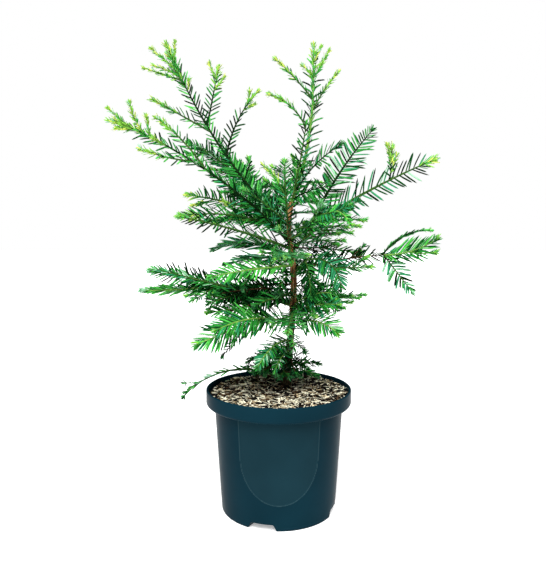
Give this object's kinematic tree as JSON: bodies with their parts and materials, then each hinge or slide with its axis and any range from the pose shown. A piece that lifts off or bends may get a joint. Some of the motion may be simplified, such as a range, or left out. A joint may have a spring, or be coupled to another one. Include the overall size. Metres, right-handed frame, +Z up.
{
  "type": "potted young coast redwood tree",
  "caption": "Young coast redwood in a round nursery pot: a slender forked stem with long, open, feathery boughs of flat needles on all sides.",
  "frame": {"origin": "middle of the pot's flat underside, on the surface the plant stands on", "axes": "+Z up along the pot's axis, +X the plant's right-hand side seen from the front, -Y its front"},
  "size_m": [0.3706, 0.3211, 0.5524],
  "materials": {
    "pot": "dark teal-blue injection-moulded polypropylene, satin gloss",
    "soil": "bark mulch and coarse composted bark, cream, tan and dark brown chips",
    "bark": "thin fibrous orange-brown bark on the stem, turning green on young boughs",
    "needles": "flat, slightly glossy needles in two ranks, dark to yellow-green"
  },
  "bodies": {
    "root": {"bough_back_left": "bark", "bough_back_low_left": "bark", "bough_back_low_right": "bark", "bough_back_middle": "bark", "bough_back_right": "bark", "bough_back_top": "bark", "bough_bright_left": "bark", "bough_fan_left": "bark", "bough_fan_right": "bark", "bough_far_left": "bark", "bough_feather_right": "bark", "bough_front_low": "bark", "bough_front_middle": "bark", "bough_high_left": "bark", "bough_leader": "bark", "bough_left_front": "bark", "bough_long_right": "bark", "bough_low_left": "bark", "bough_low_right": "bark", "bough_middle_right": "bark", "bough_twin": "bark", "foliage_back_left": "needles", "foliage_back_low_left": "needles", "foliage_back_low_right": "needles", "foliage_back_middle": "needles", "foliage_back_right": "needles", "foliage_back_top": "needles", "foliage_bright_left": "needles", "foliage_fan_left": "needles", "foliage_fan_right": "needles", "foliage_far_left": "needles", "foliage_feather_right": "needles", "foliage_foot_left": "needles", "foliage_foot_right": "needles", "foliage_front_drooping": "needles", "foliage_front_low": "needles", "foliage_front_middle": "needles", "foliage_high_left": "needles", "foliage_high_right": "needles", "foliage_inner_front": "needles", "foliage_inner_left": "needles", "foliage_inner_right": "needles", "foliage_leader": "needles", "foliage_left_blade": "needles", "foliage_left_front": "needles", "foliage_left_level": "needles", "foliage_left_middle": "needles", "foliage_left_upper": "needles", "foliage_long_right": "needles", "foliage_low_left": "needles", "foliage_low_right": "needles", "foliage_low_right_front": "needles", "foliage_middle_right": "needles", "foliage_rim_twig": "needles", "foliage_thin_right": "needles", "foliage_twin": "needles", "pot": "pot", "soil": "soil", "trunk": "bark"}
  },
  "joints": []
}
